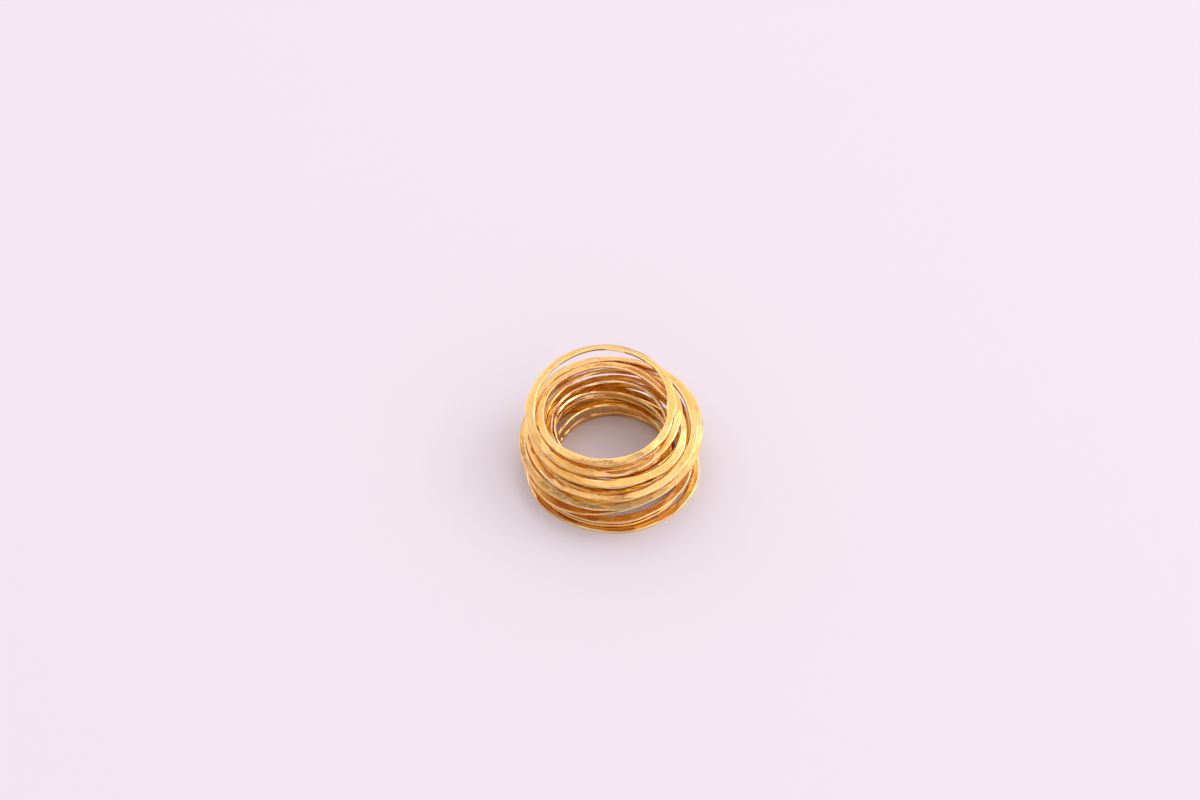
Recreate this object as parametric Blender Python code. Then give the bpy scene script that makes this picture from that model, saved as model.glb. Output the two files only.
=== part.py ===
"""A finger ring wound as a loose nest from one long hammered wire.

The ring lies on its side: the finger hole stands upright along Z, and the
lowest turn lies flat on Z = 0. The wire goes up in an inner layer, comes down
in a middle one and goes up again in an outer one. Each turn is an offset and
tilted circle, and neighbouring turns run into each other on the right side.
The origin is at the middle of the bottom of the nest. Lengths are in metres.
"""
import math
from collections import namedtuple

import bpy
import numpy as np

# Driving sizes
FINGER_DIAMETER = 0.0161
WALL_DEPTH = 0.0056
NEST_HEIGHT = 0.0127
WIRE_WIDTH = 0.00118
WIRE_THICKNESS = 0.00040
TURN_CLEARANCE = 0.00014

# How finely the wire is divided and where it starts and ends: a turn is counted
# from COUNT_FROM, and one eases into the next over PASSAGE_HALF on each side of
# its start. All are in degrees.
SECTIONS_PER_TURN = 60
COUNT_FROM = 8.0
PASSAGE_HALF = 60.0
FIRST_END_AZIMUTH = 320.0
LAST_END_AZIMUTH = 182.0

# How the laid turns settle: rounds, the share of an overlap that is cleared in
# one round, how late the smoothing dies away, how close to the floor a turn is
# laid flat on it, and where the sections without wire are put
SETTLING_ROUNDS = 420
PUSH_SHARE = 0.35
CLAMP_SHARE = 0.5
EASE_FALL = 1.6
FLOOR_GRIP = WIRE_THICKNESS / 7
FAR_OFF = 1.0

# One row for each turn, in the order of the wire. start: azimuth in degrees at
# which it takes over from the turn before. depth: how far its circle lies
# outside the finger hole; across and back: where its centre is, toward +X and
# +Y; all three are shares of WALL_DEPTH. level: height of its centre; rise_back
# and rise_right: how much higher it is at +Y and at +X; all three are shares of
# NEST_HEIGHT. lean: degrees from flat face up (0) to flat face outward (90).
Turn = namedtuple("Turn", "start depth across back level rise_back rise_right lean")
TURNS = [Turn(*row) for row in (
    (0, 0.40, 0.04, 0.02, 0.05, 0.00, 0.00, 75),
    (8, 0.12, 0.07, 0.04, 0.06, -0.01, -0.01, 75),
    (8, 0.15, 0.05, 0.04, 0.19, -0.02, -0.05, 75),
    (8, 0.22, 0.05, 0.05, 0.34, -0.02, -0.10, 75),
    (8, 0.17, 0.00, 0.04, 0.50, -0.07, -0.11, 65),
    (8, 0.21, -0.05, 0.07, 0.65, -0.04, 0.02, 40),
    (8, 0.49, 0.07, 0.14, 0.60, 0.05, 0.05, 45),
    (8, 0.70, 0.03, 0.17, 0.46, 0.03, 0.04, 75),
    (8, 0.70, 0.03, 0.16, 0.36, 0.03, 0.00, 75),
    (8, 0.38, 0.04, 0.04, 0.35, 0.02, -0.04, 70),
    (8, 0.44, 0.04, -0.02, 0.21, 0.02, 0.03, 70),
    (20, 0.89, 0.05, -0.13, 0.01, 0.00, 0.00, 0),
    (35, 0.70, -0.03, -0.17, 0.06, 0.01, 0.01, 2),
    (25, 0.70, -0.02, -0.17, 0.14, 0.01, 0.01, 4),
    (15, 0.76, -0.11, -0.15, 0.33, 0.02, 0.16, 10),
    (-64, 0.99, 0.00, 0.02, 0.51, 0.08, 0.09, 34),
    (-25, 0.88, 0.05, 0.00, 0.62, 0.06, 0.07, 8),
    (0, 0.72, -0.02, 0.09, 0.71, 0.02, 0.02, 18),
    (8, 0.33, -0.18, 0.16, 0.81, -0.02, 0.02, 12),
    (8, 0.56, -0.20, 0.21, 0.85, 0.13, 0.01, 10),
    (8, 0.46, -0.08, 0.16, 0.73, 0.03, 0.02, 18),
)]

# Where the hammer spread the wire most: turn, azimuth in degrees, share that
# the wire is wider there
Flare = namedtuple("Flare", "turn azimuth gain")
FLARES = [Flare(*row) for row in (
    (11, 215, 0.20),
    (15, 195, 0.15),
    (15, 222, 0.12),
    (15, 265, -0.15),
    (16, 262, -0.18),
    (16, 10, 0.30),
    (17, 12, 0.25),
    (17, 275, 0.40),
    (18, 265, 0.15),
    (19, 8, 0.50),
    (19, 170, 0.30),
)]
FLARE_HALF = 16.0

# How far the hand strays from the circles: waves over a turn, share of the wall's
# depth or of the nest's height, start
SWAY_OUT = ((3.3, 0.0112, 0.5), (5.6, 0.0064, 1.9))
SWAY_UP = ((2.7, 0.0056, 1.3), (4.9, 0.0032, 0.2))

# How the wire rolls about its own line: waves over a turn, degrees, start. What lies
# lower than the second value, a share of the wire's width, lies flat
ROLL = ((2.4, 7.0, 0.9), (6.1, 3.5, 2.6))
FLAT_BELOW = 0.5

# The hammer's marks along the wire: waves over a turn, share of the width, start
HAMMER_WAVES = ((7, 0.07, 0.0), (2.2, 0.05, 1.0), (13, 0.04, 2.0))
THICKNESS_LOSS = 0.8
MOST_GAIN = 0.5
SHARP_EDGE = math.radians(40)

GOLD = (0.92, 0.58, 0.22, 1.0)
GOLD_ROUGHNESS = 0.32


def clear_scene():
    for item in list(bpy.data.objects):
        bpy.data.objects.remove(item, do_unlink=True)


def gold_material():
    material = bpy.data.materials.new("gold")
    material.use_nodes = True
    shader = material.node_tree.nodes["Principled BSDF"]
    shader.inputs["Base Color"].default_value = GOLD
    shader.inputs["Metallic"].default_value = 1.0
    shader.inputs["Roughness"].default_value = GOLD_ROUGHNESS
    material.diffuse_color = GOLD
    return material


def turn_path(turn, azimuth):
    """Radius, height and lean of one turn at each azimuth about the finger hole."""
    circle = FINGER_DIAMETER / 2 + turn.depth * WALL_DEPTH
    centre_x = turn.across * WALL_DEPTH
    centre_y = turn.back * WALL_DEPTH
    along = centre_x * np.cos(azimuth) + centre_y * np.sin(azimuth)
    aside = centre_y * np.cos(azimuth) - centre_x * np.sin(azimuth)
    radius = along + np.sqrt(circle ** 2 - aside ** 2)
    x = (radius * np.cos(azimuth) - centre_x) / circle
    y = (radius * np.sin(azimuth) - centre_y) / circle
    height = (turn.level + turn.rise_right * x + turn.rise_back * y) * NEST_HEIGHT
    lean = np.full_like(azimuth, math.radians(turn.lean))
    return np.stack((radius, height, lean))


def eased(share):
    share = np.clip(share, 0.0, 1.0)
    return share * share * (3.0 - 2.0 * share)


def strayed(waves):
    """The sum of the waves at each section along the wire."""
    run = np.arange(len(TURNS) * SECTIONS_PER_TURN) * 2.0 * math.pi / SECTIONS_PER_TURN
    stray = sum(share * np.sin(count * run + start) for count, share, start in waves)
    return stray.reshape(len(TURNS), SECTIONS_PER_TURN)


def laid_turns(azimuth):
    """All turns as they are laid, each one easing out of the turn before."""
    run = COUNT_FROM + np.arange(len(TURNS) * SECTIONS_PER_TURN) * 360.0 / SECTIONS_PER_TURN
    run = run.reshape(len(TURNS), SECTIONS_PER_TURN)
    laid = turn_path(TURNS[0], azimuth)[:, None] * np.ones_like(run)
    for index, turn in enumerate(TURNS[1:], start=1):
        taken = eased(0.5 + 0.5 * (run - 360.0 * index - turn.start) / PASSAGE_HALF)
        laid += taken * (turn_path(turn, azimuth)[:, None] - laid)
    laid[0] += strayed(SWAY_OUT) * WALL_DEPTH
    laid[1] += strayed(SWAY_UP) * NEST_HEIGHT
    laid[2] += np.radians(strayed(ROLL)) * eased(laid[1] / WIRE_WIDTH - FLAT_BELOW)
    return laid


def sections_present():
    """Which sections hold wire: the first and last turns are only parts of one."""
    run = np.arange(SECTIONS_PER_TURN) * 360.0 / SECTIONS_PER_TURN
    present = np.ones((len(TURNS), SECTIONS_PER_TURN), bool)
    present[0] = run >= (FIRST_END_AZIMUTH - COUNT_FROM) % 360.0
    present[-1] = run <= (LAST_END_AZIMUTH - COUNT_FROM) % 360.0
    return present


def hammered_sizes(azimuth):
    """Width and thickness at each section: where the wire is wider it is thinner."""
    gain = strayed(HAMMER_WAVES)
    for flare in FLARES:
        away = np.degrees(azimuth) - flare.azimuth
        away = (away + 180.0) % 360.0 - 180.0
        gain[flare.turn] += flare.gain * eased(1.0 - np.abs(away) / FLARE_HALF)
    width = WIRE_WIDTH * (1.0 + gain)
    thickness = WIRE_THICKNESS * (1.0 - THICKNESS_LOSS * np.clip(gain, -MOST_GAIN, MOST_GAIN))
    return width, thickness


def dot(first, second):
    return first[0] * second[0] + first[1] * second[1]


def pushes(place, flat, upright, width, thickness):
    """How far each section has to move to clear the others at its azimuth.

    Two leaning rectangles are clear of each other when they are clear along one
    of their four side directions, so each pair is pushed along the direction in
    which it overlaps least.
    """
    apart = place[:, None] - place[:, :, None]
    one = [part[:, :, None] for part in (flat, upright)]
    other = [part[:, None] for part in (flat, upright)]
    least = np.full(apart.shape[1:], np.inf)
    way = np.zeros_like(apart)
    for axis in one + other:
        reach = (width[:, None] * np.abs(dot(axis, one[0]))
                 + thickness[:, None] * np.abs(dot(axis, one[1]))
                 + width[None] * np.abs(dot(axis, other[0]))
                 + thickness[None] * np.abs(dot(axis, other[1]))) / 2.0
        distance = dot(apart, axis)
        overlap = reach + TURN_CLEARANCE - np.abs(distance)
        best = overlap < least
        least = np.where(best, overlap, least)
        way = np.where(best, np.where(distance >= 0.0, 1.0, -1.0) * axis, way)
    turns = np.arange(len(TURNS))
    least[turns, turns] = 0.0
    least = np.clip(least, 0.0, WIRE_THICKNESS)
    return -(least * way).sum(axis=2)


def smoothed(values, present):
    """Each value averaged with those next to it along the wire."""
    line = values[present]
    middle = line.copy()
    middle[1:-1] = (line[:-2] + 2 * line[1:-1] + line[2:]) / 4
    result = values.copy()
    result[present] = middle
    return result


def settled(laid, lean, width, thickness, present):
    """The laid turns, moved apart smoothly until none touches another."""
    flat = np.stack((np.cos(lean), -np.sin(lean)))
    upright = np.stack((np.sin(lean), np.cos(lean)))
    half_reach = (width * np.abs(flat) + thickness * np.abs(upright)) / 2.0
    least_radius = FINGER_DIAMETER / 2 + half_reach[0]
    least_height = half_reach[1]
    laid = np.where(present, laid, FAR_OFF)
    place = laid.copy()
    for count in range(SETTLING_ROUNDS):
        place += PUSH_SHARE * pushes(place, flat, upright, width, thickness)
        place[0] += CLAMP_SHARE * np.clip(least_radius - place[0], 0.0, None)
        place[1] += CLAMP_SHARE * np.clip(least_height - place[1], 0.0, None)
        moved = place - laid
        ease = min(1.0, EASE_FALL * (1.0 - count / SETTLING_ROUNDS))
        for side in (0, 1):
            moved[side] += ease * (smoothed(moved[side], present) - moved[side])
        place = laid + moved
        on_floor = np.abs(place[1] - least_height) < FLOOR_GRIP
        place[1] = np.where(on_floor, least_height, place[1])
    return place, flat, upright


def wire_rings():
    """The four corners of every section along the wire, from end to end."""
    step = np.arange(SECTIONS_PER_TURN)
    azimuth = np.radians(COUNT_FROM + 360.0 * step / SECTIONS_PER_TURN)
    radius, height, lean = laid_turns(azimuth)
    present = sections_present()
    width, thickness = hammered_sizes(azimuth)
    place, flat, upright = settled(np.stack((radius, height)), lean, width, thickness, present)
    corners = []
    for side, face in ((1, 1), (-1, 1), (-1, -1), (1, -1)):
        radius, height = place + side * width / 2 * flat + face * thickness / 2 * upright
        point = np.stack((radius * np.cos(azimuth), radius * np.sin(azimuth), height), axis=-1)
        corners.append(point[present])
    return np.stack(corners, axis=1)


def wound_wire(material):
    """One closed solid swept through all sections, with a flat cap at each end."""
    rings = wire_rings()
    low = rings.min(axis=(0, 1))
    high = rings.max(axis=(0, 1))
    rings = rings - ((low[0] + high[0]) / 2, (low[1] + high[1]) / 2, 0.0)
    count = len(rings)
    faces = [(0, 1, 2, 3), tuple(4 * (count - 1) + corner for corner in (3, 2, 1, 0))]
    for ring in range(count - 1):
        for corner in range(4):
            following = (corner + 1) % 4
            faces.append((4 * ring + corner, 4 * (ring + 1) + corner,
                          4 * (ring + 1) + following, 4 * ring + following))
    mesh = bpy.data.meshes.new("wound_wire")
    mesh.from_pydata(rings.reshape(-1, 3).tolist(), [], faces)
    mesh.validate()
    mesh.materials.append(material)
    mesh.shade_smooth()
    mesh.set_sharp_from_angle(angle=SHARP_EDGE)
    wire = bpy.data.objects.new("wound_wire", mesh)
    bpy.context.collection.objects.link(wire)
    return wire


def main():
    clear_scene()
    wound_wire(gold_material())


main()
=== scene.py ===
# A finger ring wound from one hammered gold wire, lying on a pale floor.
# Each dictionary holds what a user would change about the piece below it.
import math

import bpy
import numpy as np
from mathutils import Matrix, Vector
from mathutils.bvhtree import BVHTree


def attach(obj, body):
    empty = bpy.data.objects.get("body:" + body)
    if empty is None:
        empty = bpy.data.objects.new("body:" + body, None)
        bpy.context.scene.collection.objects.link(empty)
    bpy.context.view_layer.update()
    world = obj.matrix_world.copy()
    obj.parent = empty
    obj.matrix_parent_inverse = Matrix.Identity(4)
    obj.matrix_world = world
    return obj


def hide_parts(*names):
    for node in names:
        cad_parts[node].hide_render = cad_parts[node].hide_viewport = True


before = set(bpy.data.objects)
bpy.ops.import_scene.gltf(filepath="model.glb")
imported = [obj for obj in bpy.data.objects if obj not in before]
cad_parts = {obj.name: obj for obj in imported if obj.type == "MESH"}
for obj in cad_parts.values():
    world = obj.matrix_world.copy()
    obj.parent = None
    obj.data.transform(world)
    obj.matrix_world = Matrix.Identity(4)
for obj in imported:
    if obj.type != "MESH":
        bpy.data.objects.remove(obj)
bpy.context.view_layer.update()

view = {
    "photoWidth": 1200,
    "photoHeight": 800,
    "ringPixel": (611, 439),      # where the middle of the finger hole stands in the photo
    "pixelsPerMetre": 6500,
    "aimHeight": 0.0053,          # height of that middle above the floor
    "elevation": 50,
    "lens": 100,
    "sensor": 36,
    "clipStart": 0.01,
}


def addCamera():
    bpy.ops.object.camera_add()
    camera = bpy.context.active_object
    camera.name = "camera"
    camera.data.lens = view["lens"]
    camera.data.sensor_width = view["sensor"]
    distance = view["lens"] / view["sensor"] * view["photoWidth"] / view["pixelsPerMetre"]
    tilt = math.radians(view["elevation"])
    away = Vector((0, -math.cos(tilt), math.sin(tilt)))
    upward = Vector((0, math.sin(tilt), math.cos(tilt)))
    aside = (view["ringPixel"][0] - view["photoWidth"] / 2) / view["pixelsPerMetre"]
    below = (view["ringPixel"][1] - view["photoHeight"] / 2) / view["pixelsPerMetre"]
    aim = Vector((0, 0, view["aimHeight"])) - Vector((aside, 0, 0)) + below * upward
    camera.location = aim + distance * away
    camera.rotation_euler = (math.pi / 2 - tilt, 0, 0)
    camera.data.clip_start = view["clipStart"]
    bpy.context.scene.camera = camera


addCamera()
print("camera: in place")

wire = {
    "mergeWithin": 1e-6,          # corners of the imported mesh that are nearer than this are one
    "quadAngle": 40,              # how far two triangles may fold, and their quad may lean, to become one
    "quadShape": 180,
    "sharpAngle": 45,
    "smoothLevels": 2,
    "edgeRadius": 0.00007,        # how round the four long edges are
    "narrowSide": 0.00016,        # a face with a side under this is on an edge of the wire
    "dentSize": 0.0015,           # hammer marks on the wide faces: size of a dent, and how deep it is
    "dentDepth": 0.00007,
    "waveSize": 0.003,            # slower waves left by the hammer
    "waveDepth": 0.00012,
    "smoothAngle": 50,
    # other turns seen from a point paint shade on it: the more of them close round, the deeper its colour
    "lookout": 0.02,              # how near other turns have to be to colour a point, and in how many
    "lookouts": 28,               # directions each point looks for them
    "lift": 0.0001,               # how far off the skin each look starts
}


def newTexture(name, kind, size):
    texture = bpy.data.textures.new(name, kind)
    texture.noise_scale = size
    return texture


def displaceBy(piece, texture, depth, group=""):
    bumps = piece.modifiers.new(texture.name, "DISPLACE")
    bumps.texture = texture
    bumps.texture_coords = "LOCAL"
    bumps.strength = depth
    bumps.mid_level = 0.5
    bumps.vertex_group = group


def applyModifiers(piece):
    for modifier in list(piece.modifiers):
        bpy.ops.object.modifier_apply(modifier=modifier.name)


def readPlaces(mesh):
    places = np.empty(len(mesh.vertices) * 3)
    mesh.vertices.foreach_get("co", places)
    return places.reshape(-1, 3)


def edgeShares(mesh):
    # 1 on the narrow sides of the wire, 0 on its wide faces, and between them where they meet
    places = readPlaces(mesh)
    lines = np.empty(len(mesh.edges) * 2, int)
    mesh.edges.foreach_get("vertices", lines)
    lines = lines.reshape(-1, 2)
    length = np.linalg.norm(places[lines[:, 0]] - places[lines[:, 1]], axis=1)
    narrow = np.zeros(len(places))
    for corner in (0, 1):
        np.maximum.at(narrow, lines[:, corner], (length < wire["narrowSide"]).astype(float))
    return narrow


def recessShares(mesh, skin):
    # how much of what each point looks out on is other turns, from 0 in the open to 1 deep in the nest; the
    # gold paints shade by this share
    # the directions are spread evenly over a ball
    step = np.arange(wire["lookouts"]) + 0.5
    rise = 1 - 2 * step / wire["lookouts"]
    around = step * math.pi * (3 - math.sqrt(5))
    level = np.sqrt(1 - rise ** 2)
    ways = np.stack((level * np.cos(around), level * np.sin(around), rise), axis=1)
    places = readPlaces(mesh)
    normals = np.empty(len(places) * 3)
    mesh.vertices.foreach_get("normal", normals)
    normals = normals.reshape(-1, 3)
    facing = normals @ ways.T
    starts = places + normals * wire["lift"]
    lookouts = [Vector(way) for way in ways]
    shares = np.zeros(len(places))
    for vertex, (start, towardsWays) in enumerate(zip(starts, facing)):
        start = Vector(start)
        seen = hidden = 0.0
        for way, weight in zip(lookouts, towardsWays):
            if weight > 0:
                seen += weight
                if skin.ray_cast(start, way, wire["lookout"])[0] is not None:
                    hidden += weight
        shares[vertex] = hidden / seen
    return shares


def skinOf(mesh):
    return BVHTree.FromPolygons(readPlaces(mesh).tolist(), [list(face.vertices) for face in mesh.polygons])


def addAttribute(mesh, name, values):
    mesh.attributes.new(name, "FLOAT", "POINT").data.foreach_set("value", values.astype(np.float32))


def hammeredWire():
    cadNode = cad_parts["wound_wire"]
    piece = bpy.data.objects.new("hammered_wire", cadNode.data.copy())
    bpy.context.collection.objects.link(piece)
    bpy.ops.object.select_all(action="DESELECT")
    piece.select_set(True)
    bpy.context.view_layer.objects.active = piece
    bpy.ops.mesh.customdata_custom_splitnormals_clear()

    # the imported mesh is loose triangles: make it one skin of quads again
    bpy.ops.object.mode_set(mode="EDIT")
    bpy.ops.mesh.select_all(action="SELECT")
    bpy.ops.mesh.remove_doubles(threshold=wire["mergeWithin"])
    bpy.ops.mesh.tris_convert_to_quads(
        face_threshold=math.radians(wire["quadAngle"]),
        shape_threshold=math.radians(wire["quadShape"]),
    )
    bpy.ops.mesh.mark_sharp(clear=True)
    bpy.ops.mesh.select_all(action="DESELECT")
    bpy.ops.mesh.select_mode(type="EDGE")
    bpy.ops.mesh.edges_select_sharp(sharpness=math.radians(wire["sharpAngle"]))
    bpy.ops.transform.edge_crease(value=1)
    bpy.ops.object.mode_set(mode="OBJECT")
    fours = sum(len(face.vertices) == 4 for face in piece.data.polygons)
    print("wire: quads", fours, "of", len(piece.data.polygons), "faces")

    smooth = piece.modifiers.new("smooth", "SUBSURF")
    smooth.levels = smooth.render_levels = wire["smoothLevels"]
    applyModifiers(piece)
    wide = piece.vertex_groups.new(name="wide")
    for vertex, share in enumerate(edgeShares(piece.data)):
        if share < 1:
            wide.add([vertex], 1.0 - share, "REPLACE")
    displaceBy(piece, newTexture("dents", "VORONOI", wire["dentSize"]), wire["dentDepth"], "wide")
    displaceBy(piece, newTexture("waves", "CLOUDS", wire["waveSize"]), wire["waveDepth"])
    applyModifiers(piece)
    places = readPlaces(piece.data)
    places[:, 2] = np.maximum(places[:, 2], 0.0)      # the lowest turn lies on the floor
    piece.data.vertices.foreach_set("co", places.ravel())
    edges = piece.modifiers.new("edges", "BEVEL")
    edges.width = wire["edgeRadius"]
    edges.segments = 1
    edges.limit_method = "ANGLE"
    edges.angle_limit = math.radians(wire["sharpAngle"])
    applyModifiers(piece)
    bpy.ops.object.shade_smooth_by_angle(angle=math.radians(wire["smoothAngle"]))
    flat = piece.modifiers.new("flat faces", "WEIGHTED_NORMAL")
    flat.keep_sharp = True
    applyModifiers(piece)
    piece.vertex_groups.clear()
    addAttribute(piece.data, "edge", edgeShares(piece.data))
    addAttribute(piece.data, "recessShade", recessShares(piece.data, skinOf(cadNode.data)))
    print("wire: triangles", sum(len(face.vertices) - 2 for face in piece.data.polygons))
    return piece


gold = {
    "face": (0.94, 0.585, 0.235, 1.0),
    "deep": (0.94, 0.515, 0.12, 1.0),       # stretches of the wide faces that are a little darker
    # painted highlight: the four long edges get a lighter colour, standing in for the bright lines they
    # catch
    "rimHighlight": (1.0, 0.77, 0.42, 1.0),
    "rimHighlightShare": 0.8,
    "scuff": (0.38, 0.23, 0.09, 1.0),
    "scuffShare": 0.85,
    "recessShade": (0.93, 0.45, 0.03, 1.0),      # painted shade deep in the nest, and painted glints on the yellower stretches there
    "glint": (1.0, 0.60, 0.02, 1.0),
    "slitShade": (0.50, 0.17, 0.01, 1.0),        # painted shade where two turns nearly close on each other
    "slitShadeShare": 0.6,
    # where each of these rises from nothing to full, in levels of its pattern or of the painted recess shade
    "scuffLevels": (0.55, 0.75),
    "deepLevels": (0.35, 0.65),
    "glintLevels": (0.45, 0.6),
    "recessShadeLevels": (0.40, 0.85),
    "slitShadeLevels": (0.8, 1.0),
    "streakLevels": (0.3, 0.7),
    "satin": 0.32,                # roughness of the wide faces, and how much the fine lines change it
    "satinSwing": 0.06,
    "polished": 0.16,             # roughness of the rubbed edges
    # patterns drawn out along the wire: lines to a metre of its width, marks to a turn, and fineness
    "patterns": {
        "streaks": (9000, 20, 3),       # fine lines
        "scuffs": (3200, 110, 6),       # dark grain left by the hammer, most of it where the wire is worn
        "patches": (500, 16, 2),        # slow changes of colour
        "dents": (700, 24, 0),          # hammer marks
    },
    "streakDepth": 0.000014,
    "dentDepth": 0.00026,
    # worn stretches: the middle of each, and how far it reaches along the wire
    "worn": (
        ((-0.0063, -0.0114, 0.0055), 0.0075),
        ((-0.0140, -0.0020, 0.0053), 0.0040),
        ((-0.0015, -0.0088, 0.0102), 0.0040),
        ((0.0005, -0.0112, 0.0078), 0.0035),
        ((0.0118, 0.0070, 0.0110), 0.0040),
        ((-0.0050, 0.0120, 0.0045), 0.0060),
        ((0.0125, 0.0040, 0.0050), 0.0050),
    ),
    "wornFlatness": 5.0,          # how many times less far it reaches up and down
    "wornCore": 0.4,              # how much of that reach is fully worn
    "wornGrain": 0.2,             # what full wear adds to the grain
}


def addNode(tree, kind, **settings):
    node = tree.nodes.new(kind)
    for name, value in settings.items():
        setattr(node, name, value)
    return node


def give(tree, socket, value):
    if isinstance(value, bpy.types.NodeSocket):
        tree.links.new(value, socket)
    else:
        socket.default_value = value


def calculate(tree, kind, first, second=0.0):
    step = addNode(tree, "ShaderNodeMath", operation=kind)
    give(tree, step.inputs[0], first)
    give(tree, step.inputs[1], second)
    return step.outputs["Value"]


def vectorStep(tree, kind, first, second, output="Vector"):
    step = addNode(tree, "ShaderNodeVectorMath", operation=kind)
    give(tree, step.inputs[0], first)
    give(tree, step.inputs[1], second)
    return step.outputs[output]


def ranged(tree, value, low, high, lowest=0.0, highest=1.0):
    level = addNode(tree, "ShaderNodeMapRange")
    give(tree, level.inputs["Value"], value)
    level.inputs["From Min"].default_value = low
    level.inputs["From Max"].default_value = high
    level.inputs["To Min"].default_value = lowest
    level.inputs["To Max"].default_value = highest
    return level.outputs["Result"]


def mixColour(tree, share, first, second):
    mix = addNode(tree, "ShaderNodeMix", data_type="RGBA")
    give(tree, mix.inputs["Factor"], share)
    give(tree, mix.inputs["A"], first)
    give(tree, mix.inputs["B"], second)
    return mix.outputs["Result"]


def newGroup(name, inputs, outputs):
    group = bpy.data.node_groups.new(name, "ShaderNodeTree")
    for label, kind in inputs:
        group.interface.new_socket(label, in_out="INPUT", socket_type=kind)
    for label in outputs:
        group.interface.new_socket(label, in_out="OUTPUT", socket_type="NodeSocketFloat")
    return group, group.nodes.new("NodeGroupInput").outputs, group.nodes.new("NodeGroupOutput").inputs


def alongGroup():
    # hammer marks and noise drawn out along the wire, which runs round the finger hole everywhere
    group, given, made = newGroup(
        "along the wire",
        (
            ("Place", "NodeSocketVector"),
            ("Lines per metre", "NodeSocketFloat"),
            ("Marks per turn", "NodeSocketFloat"),
            ("Detail", "NodeSocketFloat"),
        ),
        ("Noise", "Dents"),
    )
    parts = addNode(group, "ShaderNodeSeparateXYZ")
    give(group, parts.inputs["Vector"], given["Place"])
    flat = vectorStep(group, "MULTIPLY", given["Place"], (1.0, 1.0, 0.0))
    radius = vectorStep(group, "LENGTH", flat, (0.0, 0.0, 0.0), "Value")
    girth = calculate(group, "MULTIPLY", radius, 2 * math.pi)
    around = calculate(group, "DIVIDE", given["Marks per turn"], girth)
    lines = addNode(group, "ShaderNodeCombineXYZ")
    outward = calculate(group, "MULTIPLY", radius, given["Lines per metre"])
    give(group, lines.inputs["X"], outward)
    upward = calculate(group, "MULTIPLY", parts.outputs["Z"], given["Lines per metre"])
    give(group, lines.inputs["Y"], upward)
    give(group, lines.inputs["Z"], calculate(group, "MULTIPLY", parts.outputs["X"], around))
    fourth = calculate(group, "MULTIPLY", parts.outputs["Y"], around)
    noise = addNode(group, "ShaderNodeTexNoise", noise_dimensions="4D")
    noise.inputs["Scale"].default_value = 1.0
    give(group, noise.inputs["Vector"], lines.outputs["Vector"])
    give(group, noise.inputs["W"], fourth)
    give(group, noise.inputs["Detail"], given["Detail"])
    give(group, made["Noise"], noise.outputs["Fac"])
    cells = addNode(group, "ShaderNodeTexVoronoi", voronoi_dimensions="4D", feature="F1")
    cells.inputs["Scale"].default_value = 1.0
    give(group, cells.inputs["Vector"], lines.outputs["Vector"])
    give(group, cells.inputs["W"], fourth)
    give(group, made["Dents"], calculate(group, "POWER", cells.outputs["Distance"], 2.0))
    return group


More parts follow.
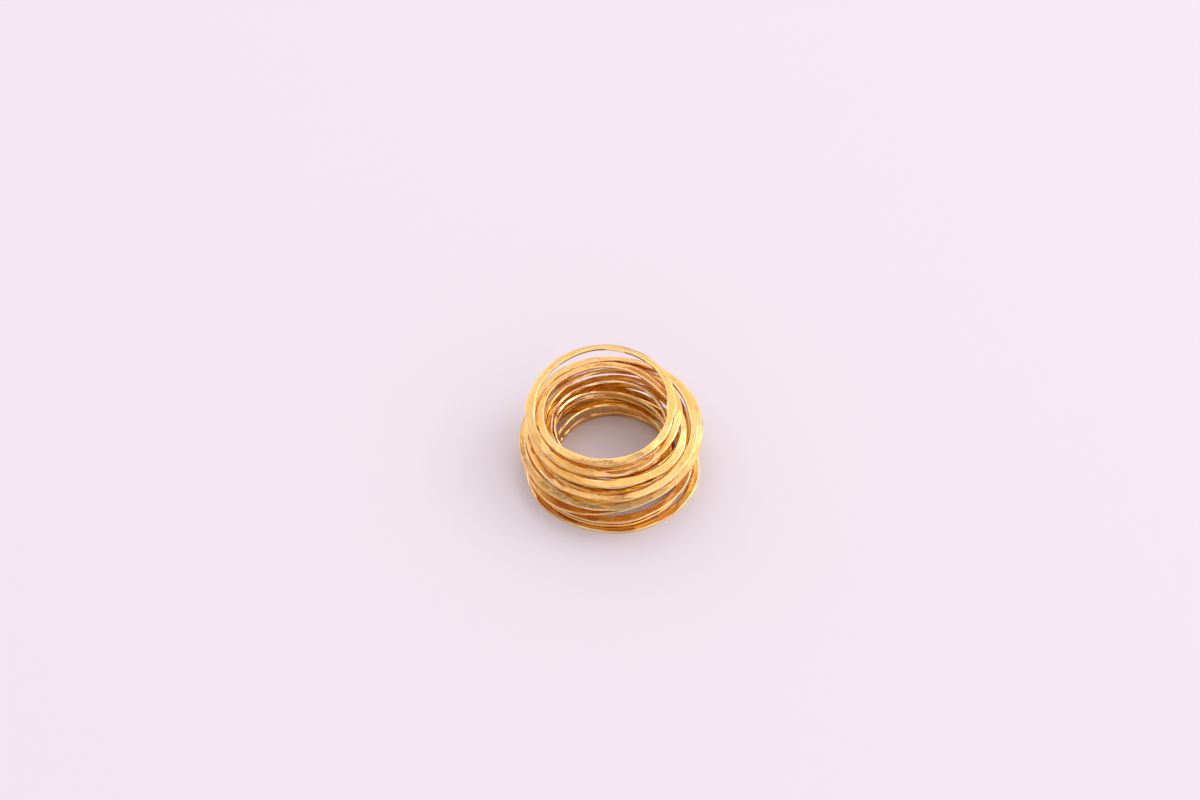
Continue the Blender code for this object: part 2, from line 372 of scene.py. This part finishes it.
def goldMaterial():
    material = bpy.data.materials.new("gold")
    material.use_nodes = True
    tree = material.node_tree
    shader = tree.nodes["Principled BSDF"]
    shader.inputs["Metallic"].default_value = 1.0
    place = addNode(tree, "ShaderNodeTexCoord").outputs["Object"]
    edge = addNode(tree, "ShaderNodeAttribute", attribute_name="edge").outputs["Fac"]
    wide = calculate(tree, "SUBTRACT", 1.0, edge)

    along = alongGroup()
    marks = {}
    for name, (lines, turnMarks, detail) in gold["patterns"].items():
        group = addNode(tree, "ShaderNodeGroup", node_tree=along)
        give(tree, group.inputs["Place"], place)
        group.inputs["Lines per metre"].default_value = lines
        group.inputs["Marks per turn"].default_value = turnMarks
        group.inputs["Detail"].default_value = detail
        marks[name] = group.outputs["Dents" if name == "dents" else "Noise"]

    worn = 0.0
    for middle, reach in gold["worn"]:
        off = vectorStep(tree, "SUBTRACT", place, middle)
        off = vectorStep(tree, "MULTIPLY", off, (1.0, 1.0, gold["wornFlatness"]))
        off = vectorStep(tree, "LENGTH", off, (0.0, 0.0, 0.0), "Value")
        worn = calculate(tree, "MAXIMUM", worn, ranged(tree, off, gold["wornCore"] * reach, reach, 1.0, 0.0))
    grain = calculate(tree, "ADD", marks["scuffs"], calculate(tree, "MULTIPLY", worn, gold["wornGrain"]))
    scuff = ranged(tree, grain, *gold["scuffLevels"], 0.0, gold["scuffShare"])
    scuff = calculate(tree, "MULTIPLY", scuff, wide)
    darker = ranged(tree, marks["patches"], *gold["deepLevels"])
    colour = mixColour(tree, darker, gold["face"], gold["deep"])
    colour = mixColour(tree, scuff, colour, gold["scuff"])
    # painted highlight along the long edges of the wire
    colour = mixColour(tree, calculate(tree, "MULTIPLY", edge, gold["rimHighlightShare"]), colour, gold["rimHighlight"])
    # painted shade and painted glints: the deeper in the nest a point is, the more its colour turns deep
    # orange, yellower on some stretches
    recessShade = addNode(tree, "ShaderNodeAttribute", attribute_name="recessShade").outputs["Fac"]
    recessShadeShare = ranged(tree, recessShade, *gold["recessShadeLevels"])
    glintShare = ranged(tree, marks["patches"], *gold["glintLevels"])
    recessShadeColour = mixColour(tree, glintShare, gold["recessShade"], gold["glint"])
    colour = mixColour(tree, recessShadeShare, colour, recessShadeColour)
    # painted shade: darker still where the turns nearly close on each other
    slitShadeAmount = ranged(tree, recessShade, *gold["slitShadeLevels"], 0.0, gold["slitShadeShare"])
    colour = mixColour(tree, slitShadeAmount, colour, gold["slitShade"])
    give(tree, shader.inputs["Base Color"], colour)

    smoothest = gold["satin"] - gold["satinSwing"]
    roughest = gold["satin"] + gold["satinSwing"]
    rough = ranged(tree, marks["streaks"], *gold["streakLevels"], smoothest, roughest)
    rubbed = ranged(tree, edge, 0.0, 1.0, 1.0, gold["polished"] / gold["satin"])
    rough = calculate(tree, "MULTIPLY", rough, rubbed)
    give(tree, shader.inputs["Roughness"], rough)

    streaks = addNode(tree, "ShaderNodeBump")
    streaks.inputs["Distance"].default_value = gold["streakDepth"]
    give(tree, streaks.inputs["Height"], marks["streaks"])
    dents = addNode(tree, "ShaderNodeBump")
    dents.inputs["Distance"].default_value = gold["dentDepth"]
    give(tree, dents.inputs["Height"], marks["dents"])
    give(tree, dents.inputs["Normal"], streaks.outputs["Normal"])
    give(tree, shader.inputs["Normal"], dents.outputs["Normal"])
    return material


ring = hammeredWire()
ring.data.materials.clear()
ring.data.materials.append(goldMaterial())
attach(ring, "root")
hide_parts("wound_wire")
print("gold: on the wire")

floor = {
    "size": 3.0,
    "colour": (0.86, 0.82, 0.865, 1.0),
    "roughness": 0.6,
}


def addFloor():
    bpy.ops.mesh.primitive_plane_add(size=floor["size"])
    plane = bpy.context.active_object
    plane.name = "floor"
    material = bpy.data.materials.new("paper")
    material.use_nodes = True
    shader = material.node_tree.nodes["Principled BSDF"]
    shader.inputs["Base Color"].default_value = floor["colour"]
    shader.inputs["Roughness"].default_value = floor["roughness"]
    plane.data.materials.append(material)


lights = {
    "world": (1.0, 0.93, 0.97),
    "worldStrength": 1.20,
    # the gaps in the white tent: azimuth, elevation, degrees from its middle out to which a gap is
    # darkest, degrees at which the tent is white again, and what is left of the light in the gap;
    # the camera looks through the first one
    "gaps": (
        (-90, 50, 12, 38, 0.33),
        (200, 34, 20, 50, 0.5),
    ),
    "distance": 1.0,              # how far off the panels stand
    # each soft panel: azimuth it stands at (0 is +X, 90 is +Y), elevation, size and brightness
    "panels": (
        ("rear", 80, 60, 0.70, 0.2),
        ("key", 20, 40, 0.45, 1.7),
    ),
}


def towards(azimuth, elevation):
    around = math.radians(azimuth)
    rise = math.radians(elevation)
    return Vector((math.cos(around) * math.cos(rise), math.sin(around) * math.cos(rise), math.sin(rise)))


def addWorld():
    world = bpy.data.worlds.new("studio")
    bpy.context.scene.world = world
    world.use_nodes = True
    tree = world.node_tree
    background = tree.nodes["Background"]
    background.inputs["Strength"].default_value = lights["worldStrength"]
    way = addNode(tree, "ShaderNodeTexCoord").outputs["Generated"]
    colour = lights["world"]
    for azimuth, elevation, inner, outer, left in lights["gaps"]:
        near = vectorStep(tree, "DOT_PRODUCT", way, towards(azimuth, elevation), "Value")
        gap = ranged(tree, near, math.cos(math.radians(outer)), math.cos(math.radians(inner)), 1.0, left)
        colour = vectorStep(tree, "MULTIPLY", colour, gap)
    give(tree, background.inputs["Color"], colour)


def addLights():
    addWorld()
    aim = Vector((0, 0, view["aimHeight"]))
    for name, azimuth, elevation, size, brightness in lights["panels"]:
        away = towards(azimuth, elevation)
        bpy.ops.object.light_add(type="AREA", location=aim + lights["distance"] * away)
        panel = bpy.context.active_object
        panel.name = name
        panel.data.size = size
        panel.data.energy = brightness * math.pi * size ** 2      # as bright at any size
        panel.rotation_euler = (-away).to_track_quat("-Z", "Y").to_euler()
        panel.visible_camera = False
    bpy.context.scene.view_settings.view_transform = "Standard"


addFloor()
addLights()
print("floor and lights: in place")

bpy.context.view_layer.update()
